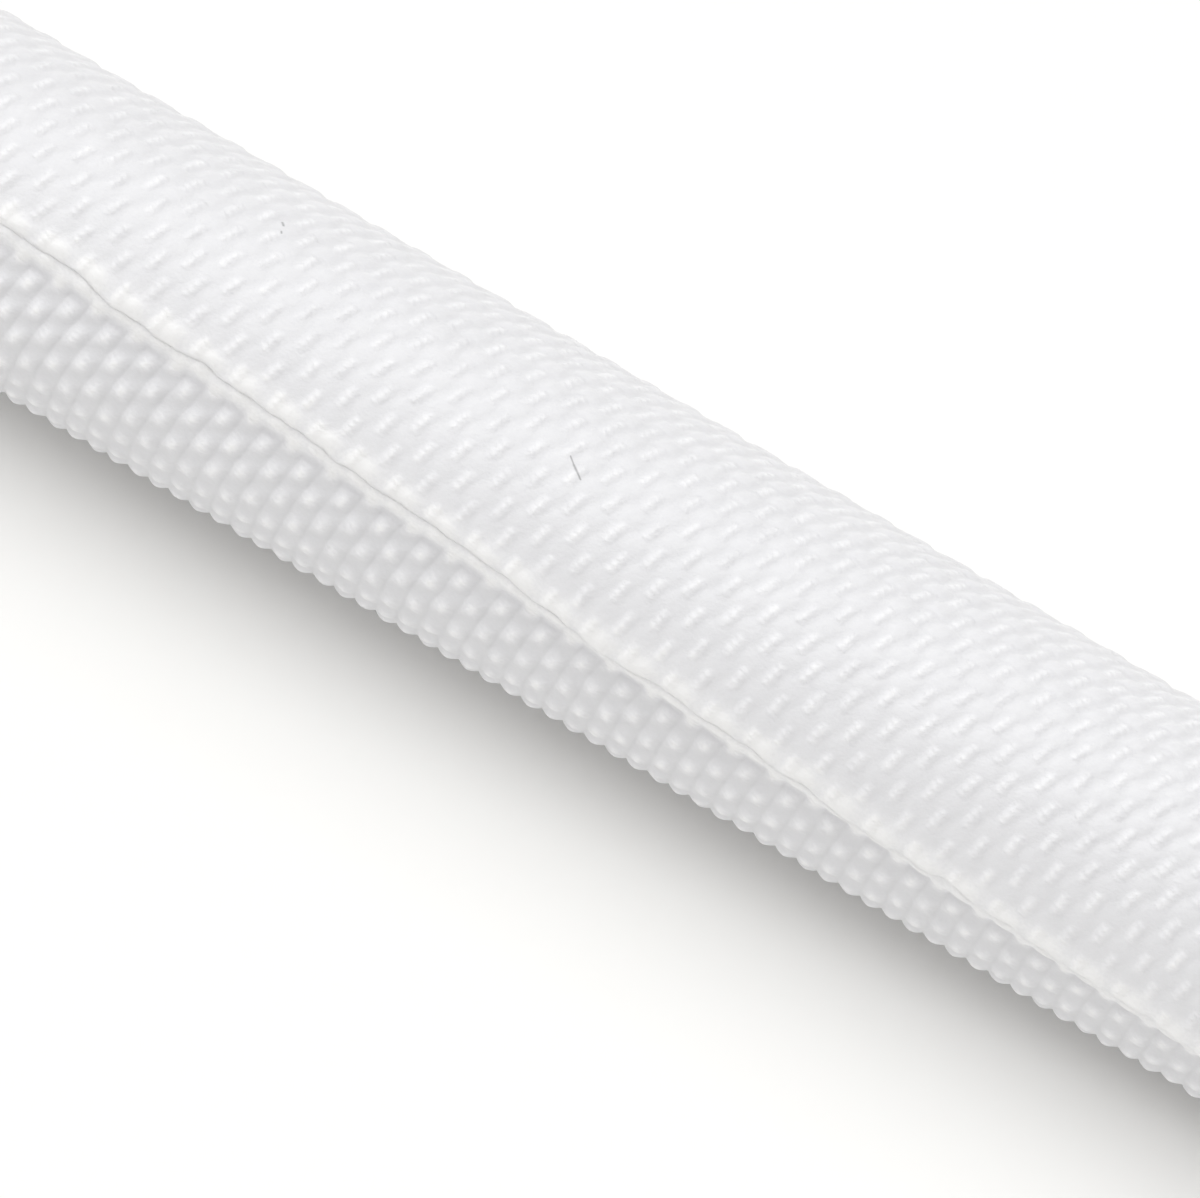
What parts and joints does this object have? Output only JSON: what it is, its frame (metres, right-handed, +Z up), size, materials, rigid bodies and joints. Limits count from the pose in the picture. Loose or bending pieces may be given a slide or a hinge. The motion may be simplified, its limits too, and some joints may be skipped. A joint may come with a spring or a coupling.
{
  "type": "self-closing woven cable sleeve",
  "caption": "Straight white polyester cable sleeve: one woven band rolled into a tube, its long edges overlapping in a slowly winding seam.",
  "frame": {"origin": "under the middle of the sleeve, on the plane that it lies on", "axes": "+X along the sleeve, +Z up from the plane it lies on"},
  "size_m": [0.5, 0.0126, 0.0126],
  "materials": {
    "white_polyester_yarn": "matt woven polyester thread, slightly translucent"
  },
  "bodies": {
    "root": {"woven_sleeve": "white_polyester_yarn"}
  },
  "joints": []
}
